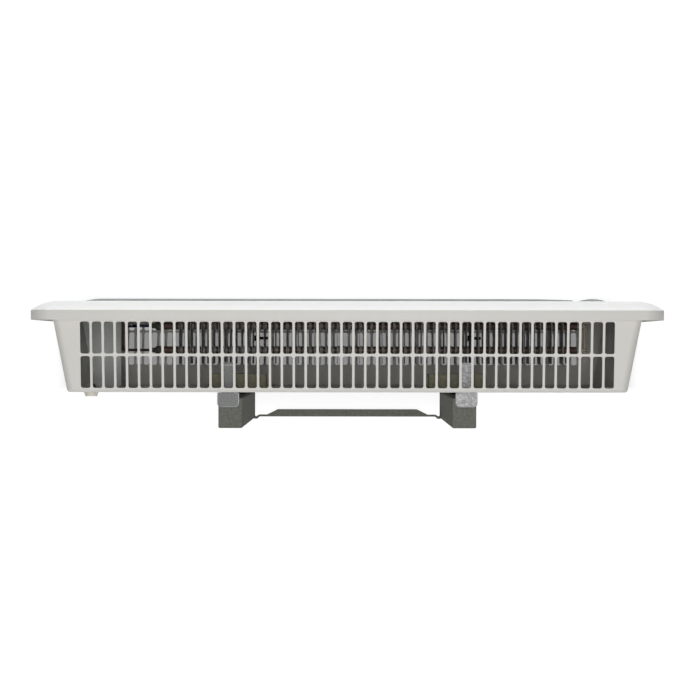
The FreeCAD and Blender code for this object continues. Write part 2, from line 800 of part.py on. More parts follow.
def make_switch(housing_name, paddle_name, z):
    """Rocker switch: an open housing with two pin holes, and a paddle that is stored tipped to off."""
    half_w = rocker_width / 2
    half_h = rocker_height / 2
    face = control_front_y()
    rear = face + rocker_depth
    bezel = box(control_x - half_w - rocker_bezel, control_x + half_w + rocker_bezel, face - rocker_bezel / 2,
                face, z - half_h - rocker_bezel, z + half_h + rocker_bezel)
    body = box(control_x - half_w, control_x + half_w, face, rear, z - half_h, z + half_h)
    well_w = half_w - rocker_wall
    well_h = half_h - rocker_wall
    well = box(control_x - well_w, control_x + well_w, face - rocker_bezel, rear - rocker_wall,
               z - well_h, z + well_h)
    pin_y = rocker_pivot_y()
    pin_hole = rod(V(control_x - half_w, pin_y, z), X_AXIS, rocker_pin_radius + running_gap, rocker_width)
    save(housing_name, body.fuse(bezel).removeSplitter().cut(well).cut(pin_hole))
    paddle_w = well_w - slide_gap
    paddle_h = well_h - slide_gap - rocker_swing
    front = face - rocker_rise
    back = pin_y + rocker_pin_radius + rocker_wall
    x0 = control_x - paddle_w
    back_h = paddle_h - rocker_wall
    outline = [V(x0, front, z + paddle_h), V(x0, front + rocker_dish, z), V(x0, front, z - paddle_h),
               V(x0, back, z - back_h), V(x0, back, z + back_h)]
    paddle = prism(outline, V(2 * paddle_w, 0, 0))
    pin = rod(V(control_x - half_w, pin_y, z), X_AXIS, rocker_pin_radius, rocker_width)
    paddle = paddle.fuse(pin).removeSplitter()
    paddle.rotate(V(control_x, pin_y, z), X_AXIS, rocker_tilt)
    save(paddle_name, paddle)


def make_pilot_lamp():
    face = control_front_y()
    stem = rod(V(control_x, face, lamp_z), Y_AXIS, lamp_radius - running_gap, lamp_length)
    lens = Part.makeSphere(lamp_dome_radius, V(control_x, face + lamp_radius, lamp_z))
    collar = rod(V(control_x, face - lamp_radius, lamp_z), Y_AXIS, lamp_collar_radius, lamp_radius)
    save("pilot_lamp", stem.fuse(lens.common(collar)).removeSplitter())


def half_way_drop(length, drop):
    """Drop at half the length of an arc that starts level and ends by falling the whole drop."""
    radius = (length ** 2 + drop ** 2) / (2 * drop)
    return radius - math.sqrt(radius ** 2 - (length / 2) ** 2)


def louvre_profile(depth):
    """Plan outline of the strip: a round nose on the right, level, then a long taper on the left."""
    nose = V(louvre_right_x - louvre_nose, front_y - louvre_proud, 0)
    tail = V(louvre_left_x + louvre_tail, front_y - louvre_proud, 0)
    tip = V(louvre_right_x, front_y, 0)
    end = V(louvre_left_x, front_y - louvre_left_proud, 0)
    base = V(louvre_left_x, front_y, 0)
    tail_drop = louvre_proud - louvre_left_proud
    nose_middle = V(nose.x + louvre_nose / 2, nose.y + half_way_drop(louvre_nose, louvre_proud), 0)
    tail_middle = V(tail.x - louvre_tail / 2, tail.y + half_way_drop(louvre_tail, tail_drop), 0)
    edges = [Part.Arc(tip, nose_middle, nose).toShape(), Part.makeLine(nose, tail),
             Part.Arc(tail, tail_middle, end).toShape(), Part.makeLine(end, base), Part.makeLine(base, tip)]
    face = Part.Face(Part.Wire(edges))
    face.translate(V(0, 0, louvre_bottom_z))
    return face.extrude(V(0, 0, depth))


def make_front_louvre():
    """Dark moulded outlet strip: a proud rim, a plug in the panel's aperture, sloping blades and posts."""
    x0, x1, z0, z1 = louvre_opening()
    plug_front = front_y - louvre_proud
    plug_rear = front_y + louvre_plug_depth
    rim = louvre_profile(louvre_height)
    plug = box(x0 + seat_gap, x1 - seat_gap, front_y, plug_rear, z0 + seat_gap, z1 - seat_gap)
    strip = rim.fuse(plug).removeSplitter()
    wall = louvre_wall
    strip = strip.cut(box(x0 + wall, x1 - wall, plug_front - 1, plug_rear + 1, z0 + wall, z1 - wall))
    pieces = []
    blade_front = front_y - louvre_left_proud
    free = (z1 - z0 - 2 * wall) / (louvre_blade_count + 1)
    for i in range(louvre_blade_count):
        z = z0 + wall + free * (i + 1)
        outline = [V(x0 + wall, blade_front, z), V(x0 + wall, blade_front, z + louvre_blade_edge),
                   V(x0 + wall, plug_rear, z - louvre_blade_fall),
                   V(x0 + wall, plug_rear, z - louvre_blade_fall - louvre_blade_edge)]
        pieces.append(prism(outline, V(x1 - x0 - 2 * wall, 0, 0)))
    posts = int((x1 - x0) / louvre_post_pitch)
    for i in range(1, posts + 1):
        x = x0 + (x1 - x0) * i / (posts + 1)
        pieces.append(box(x - wall / 2, x + wall / 2, front_y, plug_rear, z0 + wall, z1 - wall))
    save("front_louvre", strip.fuse(pieces).removeSplitter())


def make_louvre_end_piece():
    """Small domed pad beside the strip's left end."""
    x1 = louvre_left_x - end_piece_gap
    x0 = x1 - end_piece_width
    middle = V((x0 + x1) / 2, front_y - end_piece_proud, louvre_bottom_z)
    first = V(x0, front_y, louvre_bottom_z)
    last = V(x1, front_y, louvre_bottom_z)
    dome = Part.Face(Part.Wire([Part.Arc(first, middle, last).toShape(), Part.makeLine(last, first)]))
    save("louvre_end_piece", dome.extrude(V(0, 0, louvre_height)))


def make_cable_gland():
    """Gland in the back for the mains lead."""
    inner = back_inner_y - gland_flange
    stem = rod(V(gland_x, back_inner_y, gland_z), Y_AXIS, gland_radius - running_gap, casing_sheet)
    nut = rod(V(gland_x, inner, gland_z), Y_AXIS, gland_radius + gland_flange, gland_flange)
    wide = gland_radius + gland_flange
    nose = Part.makeCone(wide, gland_radius, gland_proud, V(gland_x, casing_rear_y, gland_z), Y_AXIS)
    length = gland_flange + casing_sheet + gland_proud
    bore = rod(V(gland_x, inner, gland_z), Y_AXIS, gland_bore, length)
    save("cable_gland", nose.fuse([stem, nut]).removeSplitter().cut(bore))


def make_terminal_block():
    """Three-way block on the compartment's partition, with its screws towards the end of the heater."""
    x0 = partition_x + partition_sheet
    y1 = terminal_front_y + terminal_width
    block = box(x0, x0 + terminal_depth, terminal_front_y, y1, terminal_bottom_z,
                terminal_bottom_z + terminal_height)
    cuts = []
    for i in range(terminal_ways):
        y = terminal_front_y + terminal_width * (i + 0.5) / terminal_ways
        cuts.append(rod(V(x0 + terminal_depth, y, neutral_z()), -X_AXIS, terminal_screw_radius,
                        terminal_depth / 2))
    save("terminal_block", block.cut(Part.makeCompound(cuts)))


def make_cutout():
    """Overheat cut-out, a small disc thermostat on the warm side of the heat shield."""
    place = V(cutout_x, shield_rear_y(), cutout_z)
    flange = rod(place, Y_AXIS, cutout_radius + gland_flange, gland_flange)
    cap = rod(place, Y_AXIS, cutout_radius, cutout_height)
    save("overheat_cutout", flange.fuse(cap).removeSplitter())


def make_wires():
    """Insulated wires, each held at both ends."""
    near = rod_near_x + pin_length
    thermostat_y = panel_inner_y + thermostat_depth
    neutral = [V(near, rod_y[0], element_z), V(wire_x, rod_y[0], element_z), V(wire_x, rod_y[0], neutral_z()),
               V(partition_x + partition_sheet, rod_y[0], neutral_z())]
    save("neutral_wire", tube_along(neutral, wire_radius, neutral_bend))
    beside = wire_x + wire_spacing
    switched = [V(near, rod_y[1], element_z), V(beside, rod_y[1], element_z), V(beside, rod_y[1], knob_z),
                V(beside, thermostat_y, knob_z)]
    save("switched_wire", tube_along(switched, wire_radius, wire_bend))
    live_z = switch_z[0]
    live = [V(live_wire_x, control_front_y() + rocker_depth, live_z), V(live_wire_x, live_wire_y, live_z),
            V(live_wire_x, live_wire_y, terminal_bottom_z + terminal_height)]
    save("live_wire", tube_along(live, wire_radius, wire_bend))


os.makedirs("parts", exist_ok=True)
make_front_panel()
make_rear_casing()
make_panel_screws()
make_bracket_arm("bracket_arm_right", arm_x[0], 1)
make_bracket_arm("bracket_arm_left", arm_x[1], -1)
make_crossbar()
make_hook("hook_right", hook_x[0])
make_hook("hook_left", hook_x[1])
make_bumper_pads()
make_hook_pocket("hook_pocket_right", arm_x[0], 1)
make_hook_pocket("hook_pocket_left", arm_x[1], -1)
make_heating_rods()
make_rod_ends()
make_link_strip()
make_fins()
make_hangers()
make_clamp_screws()
make_partition()
make_heat_shield()
make_control_panel()
make_thermostat()
make_switch("power_switch_housing", "power_switch_rocker", switch_z[0])
make_switch("half_power_switch_housing", "half_power_switch_rocker", switch_z[1])
make_pilot_lamp()
make_front_louvre()
make_louvre_end_piece()
make_cable_gland()
make_terminal_block()
make_cutout()
make_wires()
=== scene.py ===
"""Studio picture of the wall-hung convector heater, looking down on its outlet grille."""
import json
import math

import bmesh
import bpy
from mathutils import Matrix, Vector


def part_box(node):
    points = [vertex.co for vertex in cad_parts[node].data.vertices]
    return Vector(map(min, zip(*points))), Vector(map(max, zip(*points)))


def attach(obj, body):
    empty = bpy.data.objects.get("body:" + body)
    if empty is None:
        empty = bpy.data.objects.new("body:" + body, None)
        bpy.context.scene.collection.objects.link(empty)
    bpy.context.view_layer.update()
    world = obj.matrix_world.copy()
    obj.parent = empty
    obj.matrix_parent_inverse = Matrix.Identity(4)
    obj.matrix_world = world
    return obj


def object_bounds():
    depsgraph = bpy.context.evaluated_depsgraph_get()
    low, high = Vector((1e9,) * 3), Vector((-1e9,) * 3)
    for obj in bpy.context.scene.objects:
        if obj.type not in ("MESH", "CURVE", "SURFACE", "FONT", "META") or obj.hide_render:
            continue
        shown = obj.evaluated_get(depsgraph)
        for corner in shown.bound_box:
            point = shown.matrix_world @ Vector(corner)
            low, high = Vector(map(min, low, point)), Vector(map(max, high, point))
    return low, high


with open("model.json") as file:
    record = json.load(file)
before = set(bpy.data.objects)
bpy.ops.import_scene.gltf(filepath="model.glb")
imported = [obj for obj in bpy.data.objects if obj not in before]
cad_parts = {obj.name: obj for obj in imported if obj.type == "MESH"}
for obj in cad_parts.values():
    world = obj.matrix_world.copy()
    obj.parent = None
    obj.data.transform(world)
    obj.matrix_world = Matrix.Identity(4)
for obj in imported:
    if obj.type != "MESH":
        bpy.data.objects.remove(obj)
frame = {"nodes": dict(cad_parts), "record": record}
cad_low, cad_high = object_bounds()
nodes = frame["nodes"]
MM = 0.001

# Camera and picture frame
PICTURE_PIXELS = 700
AXIS_PIXEL = (347.8, 343.7)
CAMERA_ROLL = math.radians(0.07)
LENS_MM = 138.5
SENSOR_MM = 36.0
CAMERA_HEIGHT = 2.707
GRILLE_Z = 203.0 * MM
CAMERA_X = -0.4 * MM
CAMERA_Y = -86.2 * MM
CAMERA_CLIP = 100.0

# Stage and light
FLOOR_DROP = 30.0 * MM
FLOOR_SIZE = 12.0
FLOOR_TONE = 0.52
FLOOR_LIFT = 0.75
# Painted shadow below the casing: darker paper colour and lower lift in a soft-edged patch, on top of the
# floor's real shading from the lamps
PAINTED_SHADOW_TONE = 0.25
PAINTED_SHADOW_LIFT = 0.2
PAINTED_SHADOW_INSET = (-6.0 * MM, 4.0 * MM)
PAINTED_SHADOW_FADE = (60.0 * MM, 26.0 * MM)
FRONT_POWER = 54.0
FRONT_SIZE = (2.4, 0.5)
FRONT_PLACE = (0.0, -2.4, -0.05)
FRONT_COLOUR = (0.9, 0.945, 1.0)
REAR_POWER = 14.0
REAR_SIZE = (0.7, 0.4)
REAR_PLACE = (0.0, 2.4, -0.3)
TOP_POWER = 19.5
TOP_SIZE = (1.6, 1.6)
TOP_PLACE = (0.0, 0.8, 2.4)
TOP_COLOUR = (1.0, 1.0, 1.0)
NEAR_POWER = 14.0
NEAR_SIZE = (0.5, 0.5)
NEAR_PLACE = (0.0, -0.1, 2.85)
LIGHT_AIM = (0.0, -0.08, 0.1)
WORLD_STRENGTH = 0.22

# Small fittings, in millimetres
BOOT_PROFILE = [(3.4, 0.0), (4.5, 0.4), (4.7, 2.0), (4.6, 6.0), (4.0, 8.0), (2.7, 9.0), (2.5, 12.5),
                (1.7, 13.0)]
BOOT_OVERLAP = 0.2
BOOT_STEPS = 28
RIVET_PROFILE = [(2.4, 0.0), (2.3, 0.4), (1.9, 0.8), (1.2, 1.05), (0.9, 1.0), (0.8, 0.3), (0.0, 0.3)]
RIVET_STEPS = 18
POCKET_RIVET_RISE = 6.0
# Node, half the spacing of its rivets, and their place as a share of the node's width
RIVET_ROWS = (("element_hanger_right", 10.0, 0.7), ("element_hanger_left", 10.0, 0.7),
              ("hook_pocket_right", 0.0, 0.15), ("hook_pocket_left", 0.0, 0.15),
              ("hook_pocket_right", 0.0, 0.85), ("hook_pocket_left", 0.0, 0.85),
              ("compartment_partition", 16.0, 0.15))
SCALE_STEPS = 10
SCALE_SWEEP = 270.0
SCALE_RADIUS = 18.6
TICK_LENGTHS = (2.0, 1.2)
TICK_WIDTH = 0.45
NUMBER_RADIUS = 21.9
NUMBER_SIZE = 2.7
INK_HEIGHT = 0.08
INK_CORNER_STEPS = 3
MARK_LENGTH = 3.6
MARK_RING = 1.9
MARK_WIDTH = 0.6
MARK_STEPS = 28
PLATE_SIZE = (74.0, 42.0)
PLATE_SHEET = 0.4
PLATE_PLACE = (196.0, 40.0)
PLATE_CORNER = 3.0
PLATE_CORNER_STEPS = 6

# Cut edges of the hook plates
EDGE_WIDTH = 0.9 * MM
EDGE_ANGLE = math.radians(50)
EDGE_SEGMENTS = 2
WELD_REACH = 0.01 * MM

# Largest Y of a face's outward direction that counts as facing the front
FACING_FRONT = -0.9


def linear(hex_colour):
    """sRGB hex to a linear colour with full alpha."""
    channels = [int(hex_colour[i:i + 2], 16) / 255 for i in (0, 2, 4)]
    shaped = [c / 12.92 if c <= 0.04045 else ((c + 0.055) / 1.055) ** 2.4 for c in channels]
    return (*shaped, 1.0)


def per_mm(size_mm):
    """Pattern scale that makes one cell of a texture this many millimetres wide."""
    return 1.0 / (size_mm * MM)


def add_node(tree, kind, inputs=(), **settings):
    """One shader node: settings are its own properties, inputs its sockets' values or links."""
    made = tree.nodes.new("ShaderNode" + kind)
    for name, value in settings.items():
        setattr(made, name, value)
    for name, value in dict(inputs).items():
        socket = made.inputs[name]
        if isinstance(value, bpy.types.NodeSocket):
            tree.links.new(value, socket)
        else:
            socket.default_value = value
    return made


def new_material(name):
    """Empty material with its surface shader and place coordinates."""
    material = bpy.data.materials.new(name)
    material.use_nodes = True
    tree = material.node_tree
    tree.nodes.clear()
    shader = add_node(tree, "BsdfPrincipled")
    add_node(tree, "OutputMaterial", {"Surface": shader.outputs["BSDF"]})
    place = add_node(tree, "TexCoord").outputs["Object"]
    return material, tree, shader, place


def ramp(tree, factor, stops):
    """Colour ramp from a list of (position, hex colour)."""
    made = add_node(tree, "ValToRGB", {"Fac": factor})
    band = made.color_ramp
    while len(band.elements) < len(stops):
        band.elements.new(0.5)
    for element, (position, hex_colour) in zip(band.elements, stops):
        element.position = position
        element.color = linear(hex_colour)
    return made.outputs["Color"]


def grain(tree, place, size_mm, detail=2.0, stretch=(1, 1, 1)):
    """Soft noise whose blots are about this many millimetres wide, drawn out along one axis by stretch."""
    spread = add_node(tree, "VectorMath", {0: place, 1: stretch}, operation="MULTIPLY")
    noise = add_node(tree, "TexNoise", {"Vector": spread.outputs["Vector"], "Scale": per_mm(size_mm),
                                        "Detail": detail})
    return noise.outputs["Fac"]


def spread_value(tree, factor, low, high):
    """Maps a 0 to 1 pattern onto a range of values."""
    made = add_node(tree, "MapRange", {"Value": factor, "To Min": low, "To Max": high})
    return made.outputs["Result"]


def dent(tree, shader, height, depth_mm, strength=1.0):
    """Bump of a real depth on the surface."""
    bump = add_node(tree, "Bump", {"Height": height, "Distance": depth_mm * MM, "Strength": strength})
    tree.links.new(bump.outputs["Normal"], shader.inputs["Normal"])


def set_shader(shader, **values):
    """Sets plain values on the surface shader's sockets."""
    for name, value in values.items():
        shader.inputs[name.replace("_", " ").title().replace("Ior", "IOR")].default_value = value


def powder_coated_steel():
    """White polyester powder on sheet steel: satin, with faint orange peel and a slow change of tone."""
    material, tree, shader, place = new_material("powder_coated_steel_white")
    tone = ramp(tree, grain(tree, place, size_mm=120.0), [(0.3, "E3E1DB"), (0.7, "E5E3DD")])
    tree.links.new(tone, shader.inputs["Base Color"])
    gloss = spread_value(tree, grain(tree, place, size_mm=9.0), low=0.36, high=0.46)
    tree.links.new(gloss, shader.inputs["Roughness"])
    set_shader(shader, ior=1.5)
    dent(tree, shader, grain(tree, place, size_mm=1.6), depth_mm=0.03, strength=0.35)
    return material


def galvanised_sheet(name, dark, middle, light, cell_mm, rough, metallic, specular=0.5):
    """Hot-dip zinc: flat crystals of several greys with fine feathering inside each one."""
    material, tree, shader, place = new_material(name)
    bent = add_node(tree, "TexNoise", {"Vector": place, "Scale": per_mm(cell_mm * 0.7), "Detail": 3.0})
    shift = add_node(tree, "VectorMath", {0: bent.outputs["Color"], 1: (cell_mm * MM,) * 3},
                     operation="MULTIPLY")
    warped = add_node(tree, "VectorMath", {0: place, 1: shift.outputs["Vector"]}, operation="ADD")
    cells = add_node(tree, "TexVoronoi", {"Vector": warped.outputs["Vector"], "Scale": per_mm(cell_mm)})
    crystal = add_node(tree, "SeparateColor", {"Color": cells.outputs["Color"]}).outputs["Red"]
    feather = grain(tree, place, size_mm=cell_mm * 0.22, detail=4.0)
    mixed = add_node(tree, "Mix", {"Factor": 0.45, "A": crystal, "B": feather}).outputs["Result"]
    tone = ramp(tree, mixed, [(0.2, dark), (0.5, middle), (0.8, light)])
    tree.links.new(tone, shader.inputs["Base Color"])
    gloss = spread_value(tree, crystal, low=rough - 0.1, high=rough + 0.12)
    tree.links.new(gloss, shader.inputs["Roughness"])
    set_shader(shader, metallic=metallic)
    shader.inputs["Specular IOR Level"].default_value = specular
    dent(tree, shader, feather, depth_mm=0.05, strength=0.3)
    return material


def plated_sheet(name, dark, light, rough, metallic=0.7):
    """Rolled and plated sheet: long faint roll lines and soft stains."""
    material, tree, shader, place = new_material(name)
    lines = grain(tree, place, size_mm=1.2, detail=3.0, stretch=(0.04, 1, 1))
    stains = grain(tree, place, size_mm=22.0, detail=3.0)
    mixed = add_node(tree, "Mix", {"Factor": 0.5, "A": lines, "B": stains}).outputs["Result"]
    tree.links.new(ramp(tree, mixed, [(0.3, dark), (0.7, light)]), shader.inputs["Base Color"])
    gloss = spread_value(tree, lines, low=rough - 0.08, high=rough + 0.1)
    tree.links.new(gloss, shader.inputs["Roughness"])
    set_shader(shader, metallic=metallic)
    dent(tree, shader, lines, depth_mm=0.01, strength=0.3)
    return material


def fired_surface(name, dark, light, blot_mm, rough, metallic):
    """Steel or ceramic that has been hot: blotchy colour and a dry surface."""
    material, tree, shader, place = new_material(name)
    blots = grain(tree, place, size_mm=blot_mm, detail=4.0)
    tree.links.new(ramp(tree, blots, [(0.3, dark), (0.7, light)]), shader.inputs["Base Color"])
    gloss = spread_value(tree, blots, low=rough - 0.08, high=rough + 0.12)
    tree.links.new(gloss, shader.inputs["Roughness"])
    set_shader(shader, metallic=metallic)
    dent(tree, shader, grain(tree, place, size_mm=0.8), depth_mm=0.02, strength=0.4)
    return material


def moulded_plastic(name, dark, light, spark_mm, rough, texture=0.5):
    """Injection moulding with a spark-eroded grain, drawn coarse enough to show."""
    material, tree, shader, place = new_material(name)
    spark = grain(tree, place, size_mm=spark_mm)
    tone = ramp(tree, grain(tree, place, size_mm=14.0), [(0.3, dark), (0.7, light)])
    tree.links.new(tone, shader.inputs["Base Color"])
    gloss = spread_value(tree, spark, low=rough - 0.06, high=rough + 0.08)
    tree.links.new(gloss, shader.inputs["Roughness"])
    set_shader(shader, ior=1.5)
    dent(tree, shader, spark, depth_mm=0.03, strength=texture)
    return material


def clear_lens_plastic():
    """Tinted polycarbonate lens: smooth, glossy and a little see-through."""
    material, tree, shader, place = new_material("polycarbonate_amber_lens")
    tone = ramp(tree, grain(tree, place, size_mm=3.0), [(0.3, "B8560E"), (0.7, "D87A1C")])
    tree.links.new(tone, shader.inputs["Base Color"])
    gloss = spread_value(tree, grain(tree, place, size_mm=1.5), low=0.12, high=0.2)
    tree.links.new(gloss, shader.inputs["Roughness"])
    set_shader(shader, transmission_weight=0.35, ior=1.58)
    return material


def printed_ink(name, dark, light):
    """Pad-printed ink on moulded plastic: flat, and a little uneven."""
    material, tree, shader, place = new_material(name)
    tone = ramp(tree, grain(tree, place, size_mm=0.5, detail=3.0), [(0.3, dark), (0.6, light)])
    tree.links.new(tone, shader.inputs["Base Color"])
    set_shader(shader, roughness=0.6)
    return material


FINISHES = {
    "white_enamel": powder_coated_steel(),
    "galvanised_steel": galvanised_sheet("hot_dip_galvanised_steel", "696A63", "73746D", "7D7E78",
                                         cell_mm=1.2, rough=0.75, metallic=0.0, specular=0.1),
    # Darker, olive copy of the galvanised steel for the hook pockets inside the casing: the darkness is
    # painted shade; the spangle is the steel's own
    "galvanised_shade": galvanised_sheet("galvanised_spangle_painted_shade", "5F5D47", "706E57", "827F68",
                                         cell_mm=4.0, rough=0.6, metallic=0.1),
    "zinc_sheet": plated_sheet("zinc_plated_sheet_rolled", "BCBFBB", "CDD0CB", rough=0.5, metallic=0.4),
    "bright_shield": plated_sheet("aluminium_sheet_mill_finish", "9A9B9C", "B9BABB", rough=0.38),
    # Fins drawn pale grey, far above the dark fins' own colour: painted light standing in for the light
    # that reaches them in their narrow gaps; the blotches are heat marks
    "dark_fins": fired_surface("steel_fins_blotched_painted_light", "B4B5B1", "C8C9C4",
                               blot_mm=6.0, rough=0.5, metallic=0.1),
    "rod_sheath": fired_surface("steel_sheath_oxidised", "695248", "80665A",
                                blot_mm=4.0, rough=0.5, metallic=0.3),
    "ceramic": fired_surface("steatite_ceramic_fired", "CFC9BB", "DDD8CC",
                             blot_mm=3.0, rough=0.6, metallic=0.0),
    "brass": plated_sheet("brass_strip_rolled", "8F7444", "A88C58", rough=0.4, metallic=0.9),
    "black_steel": fired_surface("steel_phosphated_black", "161616", "242423",
                                 blot_mm=5.0, rough=0.5, metallic=0.4),
    "steel_screw": plated_sheet("zinc_plated_screw", "9C9E9F", "B4B6B7", rough=0.35, metallic=0.9),
    "grey_plastic": moulded_plastic("abs_moulded_mid_grey", "B8B9BA", "C1C2C3",
                                    spark_mm=1.0, rough=0.5),
    "knob_plastic": moulded_plastic("abs_moulded_knob_grey", "5A5B5D", "626365",
                                    spark_mm=1.0, rough=0.42),
    "rocker_plastic": moulded_plastic("pbt_moulded_black", "17171A", "1E1E21",
                                      spark_mm=1.4, rough=0.34, texture=0.08),
    "amber_lens": clear_lens_plastic(),
    "cream_plastic": moulded_plastic("nylon_moulded_cream", "E2DCCD", "EBE6D9",
                                     spark_mm=1.2, rough=0.45, texture=0.35),
    "black_phenolic": moulded_plastic("phenolic_moulded_black", "191714", "24211D",
                                      spark_mm=1.2, rough=0.35, texture=0.4),
    "rubber": moulded_plastic("rubber_moulded_black", "161616", "1F1F1F",
                              spark_mm=1.0, rough=0.7, texture=0.6),
    "blue_insulation": moulded_plastic("pvc_insulation_blue", "14204A", "1B2A5C",
                                       spark_mm=2.0, rough=0.35, texture=0.2),
    "brown_insulation": moulded_plastic("pvc_insulation_brown", "3E2416", "4B2D1D",
                                        spark_mm=2.0, rough=0.35, texture=0.2),
    "black_insulation": moulded_plastic("pvc_insulation_black", "141414", "1C1C1C",
                                        spark_mm=2.0, rough=0.35, texture=0.2),
}
DIAL_INK = printed_ink("pad_printed_ink_dark", "2B2C2E", "3A3B3D")
ROCKER_INK = printed_ink("pad_printed_ink_pale", "C9C8C4", "DEDDD9")
HOOK_FINISHES = {
    "hook_right": galvanised_sheet("galvanised_hook_fine_spangle", "5E5F5F", "707171", "838484",
                                   cell_mm=1.4, rough=0.5, metallic=0.4),
    "hook_left": galvanised_sheet("galvanised_hook_feathered", "828383", "A9AAAA", "D4D5D5",
                                  cell_mm=2.0, rough=0.5, metallic=0.1),
}
BOOT_FINISH = moulded_plastic("silicone_moulded_grey", "55554F", "63635C",
                              spark_mm=1.0, rough=0.6, texture=0.4)
CUT_EDGE = plated_sheet("sheared_steel_edge_bright", "A2A3A3", "B8B9B9", rough=0.35, metallic=0.15)


def dress_frame():
    """Every CAD node takes the finish that the record names for it, except the two hooks, which take their
    own galvanised finishes.
    """
    for row in frame["record"]["subparts"]:
        piece = nodes[row["node"]]
        piece.data.materials.clear()
        piece.data.materials.append(HOOK_FINISHES.get(row["node"], FINISHES[row["material_slot"]]))


def sheared_edges():
    """Bright, slightly rounded cut edges round the hook plates."""
    for node in HOOK_FINISHES:
        piece = nodes[node]
        piece.data.materials.append(CUT_EDGE)
        join = piece.modifiers.new("joined_faces", "WELD")
        join.merge_threshold = WELD_REACH
        soften = piece.modifiers.new("sheared_edge", "BEVEL")
        soften.width = EDGE_WIDTH
        soften.segments = EDGE_SEGMENTS
        soften.use_clamp_overlap = False
        soften.limit_method = "ANGLE"
        soften.angle_limit = EDGE_ANGLE
        soften.material = 1


def painted_shadow_below(tree):
    """Mask for the painted floor shadow: 0 on the floor straight below the casing, fading to 1 around it.
    """
    low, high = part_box("rear_casing")
    place = add_node(tree, "SeparateXYZ", {"Vector": add_node(tree, "TexCoord").outputs["Object"]})
    sides = []
    for i, axis in enumerate("XY"):
        middle = (low[i] + high[i]) / 2
        dark = (high[i] - low[i]) / 2 - PAINTED_SHADOW_INSET[i]
        offset = add_node(tree, "Math", {0: place.outputs[axis], 1: middle}, operation="SUBTRACT")
        away = add_node(tree, "Math", {0: offset.outputs[0]}, operation="ABSOLUTE")
        reach = {"Value": away.outputs[0], "From Min": dark - PAINTED_SHADOW_FADE[i] / 2,
                 "From Max": dark + PAINTED_SHADOW_FADE[i] / 2}
        fade = add_node(tree, "MapRange", reach, interpolation_type="SMOOTHSTEP")
        sides.append(fade.outputs["Result"])
    return add_node(tree, "Math", {0: sides[0], 1: sides[1]}, operation="MAXIMUM").outputs[0]


def studio_floor():
    """Pale paper floor, lifted to white for the eye, with a shadow painted into its colour and lift below
    the heater; the lamps' own shading of the paper is real.
    """
    material = bpy.data.materials.new("floor_paper")
    material.use_nodes = True
    tree = material.node_tree
    tree.nodes.clear()
    shade = painted_shadow_below(tree)
    tone = spread_value(tree, shade, PAINTED_SHADOW_TONE, FLOOR_TONE)
    paper = add_node(tree, "BsdfDiffuse", {"Color": tone})
    path = add_node(tree, "LightPath")
    seen = path.outputs["Is Camera Ray"]
    for ray in ("Is Glossy Ray", "Is Transmission Ray"):
        seen = add_node(tree, "Math", {0: seen, 1: path.outputs[ray]}, operation="MAXIMUM").outputs[0]
    lift = add_node(tree, "Math", {0: seen, 1: spread_value(tree, shade, PAINTED_SHADOW_LIFT, FLOOR_LIFT)},
                    operation="MULTIPLY")
    glow = add_node(tree, "Emission", {"Color": (1, 1, 1, 1), "Strength": lift.outputs[0]})
    both = add_node(tree, "AddShader", {0: paper.outputs[0], 1: glow.outputs[0]})
    add_node(tree, "OutputMaterial", {"Surface": both.outputs[0]})
    half = FLOOR_SIZE / 2
    z = cad_low[2] - FLOOR_DROP
    mesh = bpy.data.meshes.new("floor")
    corners = [(-half, -half, z), (half, -half, z), (half, half, z), (-half, half, z)]
    mesh.from_pydata(corners, [], [(0, 1, 2, 3)])
    mesh.materials.append(material)
    floor = bpy.data.objects.new("floor", mesh)
    bpy.context.scene.collection.objects.link(floor)


def area_light(name, power, colour, size, place, target):
    """Rectangular soft box at a place, turned towards its target."""
    light = bpy.data.lights.new(name, "AREA")
    light.energy = power
    light.color = colour
    light.shape = "RECTANGLE"
    light.size, light.size_y = size
    lamp = bpy.data.objects.new(name, light)
    lamp.location = place
    lamp.rotation_euler = (Vector(target) - Vector(place)).to_track_quat("-Z", "Y").to_euler()
    bpy.context.scene.collection.objects.link(lamp)


def studio():
    """Soft boxes in front of, behind and above the heater, and an even room light."""
    area_light("front_softbox", FRONT_POWER, FRONT_COLOUR, FRONT_SIZE, FRONT_PLACE, LIGHT_AIM)
    area_light("rear_softbox", REAR_POWER, TOP_COLOUR, REAR_SIZE, REAR_PLACE, LIGHT_AIM)
    area_light("top_softbox", TOP_POWER, TOP_COLOUR, TOP_SIZE, TOP_PLACE, LIGHT_AIM)
    area_light("camera_softbox", NEAR_POWER, TOP_COLOUR, NEAR_SIZE, NEAR_PLACE, LIGHT_AIM)
    world = bpy.data.worlds.new("studio_room")
    world.use_nodes = True
    tree = world.node_tree
    tree.nodes.clear()
    room = add_node(tree, "Background", {"Color": (1, 1, 1, 1), "Strength": WORLD_STRENGTH})
    add_node(tree, "OutputWorld", {"Surface": room.outputs[0]})
    bpy.context.scene.world = world
    bpy.context.scene.view_settings.view_transform = "Standard"


def place_camera():
    """Looks straight down, with the front of the heater towards the top of the picture."""
    data = bpy.data.cameras.new("photo_camera")
    data.lens = LENS_MM
    data.sensor_width = SENSOR_MM
    data.clip_end = CAMERA_CLIP
    data.shift_x = (PICTURE_PIXELS / 2 - AXIS_PIXEL[0]) / PICTURE_PIXELS
    data.shift_y = (AXIS_PIXEL[1] - PICTURE_PIXELS / 2) / PICTURE_PIXELS
    camera = bpy.data.objects.new("photo_camera", data)
    camera.location = (CAMERA_X, CAMERA_Y, GRILLE_Z + CAMERA_HEIGHT)
    camera.rotation_euler = (0, 0, math.pi + CAMERA_ROLL)
    bpy.context.scene.collection.objects.link(camera)
    bpy.context.scene.camera = camera


